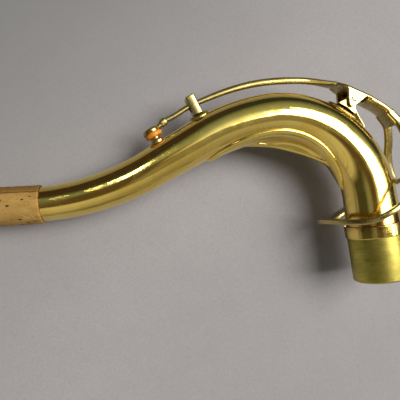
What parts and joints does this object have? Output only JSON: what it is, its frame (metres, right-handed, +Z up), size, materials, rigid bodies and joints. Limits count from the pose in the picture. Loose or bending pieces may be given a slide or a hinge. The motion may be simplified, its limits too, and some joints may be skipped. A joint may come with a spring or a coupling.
{
  "type": "saxophone neck",
  "caption": "Lacquered brass tenor saxophone neck: a tapered bent tube with a tenon, a corked mouthpiece end and a sprung octave key with fork and ring.",
  "frame": {"origin": "centre of the tenon's open end", "axes": "+Z up along the tenon into the tube, -X towards the mouthpiece end, Y across the neck's plane of symmetry"},
  "size_m": [0.2353, 0.0534, 0.1056],
  "materials": {
    "lacquered_brass": "polished, clear gold lacquer",
    "raw_brass": "bare, satin, brushed round",
    "cork": "sanded natural cork",
    "pad": "smooth waxed",
    "spring_bronze": "polished strip",
    "screw_steel": "turned"
  },
  "bodies": {
    "neck": {"neck_tube": "lacquered_brass", "tenon_sleeve": "raw_brass", "tenon_collar": "lacquered_brass", "mouthpiece_cork": "cork", "brace_plate": "lacquered_brass", "brace_keel": "lacquered_brass", "octave_pip": "lacquered_brass", "guide_foot": "lacquered_brass", "guide_fork": "lacquered_brass", "pivot_plate": "lacquered_brass", "pivot_post": "lacquered_brass", "pivot_screw": "screw_steel"},
    "octave_key": {"key_saddle": "lacquered_brass", "key_bar": "lacquered_brass", "bar_socket": "lacquered_brass", "pad_cup": "lacquered_brass", "octave_pad": "pad", "key_fork": "lacquered_brass", "key_ring": "lacquered_brass", "flat_spring": "spring_bronze", "spring_screw": "screw_steel"}
  },
  "joints": [
    {"name": "octave_key_pivot", "type": "hinge", "parent": "neck", "child": "octave_key", "pos_m": [-0.00337, 0, 0.08881], "axis": [0, 1, 0], "range_deg": [0, 3], "stiffness_Nm_per_rad": 0.3, "springref_deg": -14.32, "deforming": ["flat_spring"]}
  ]
}
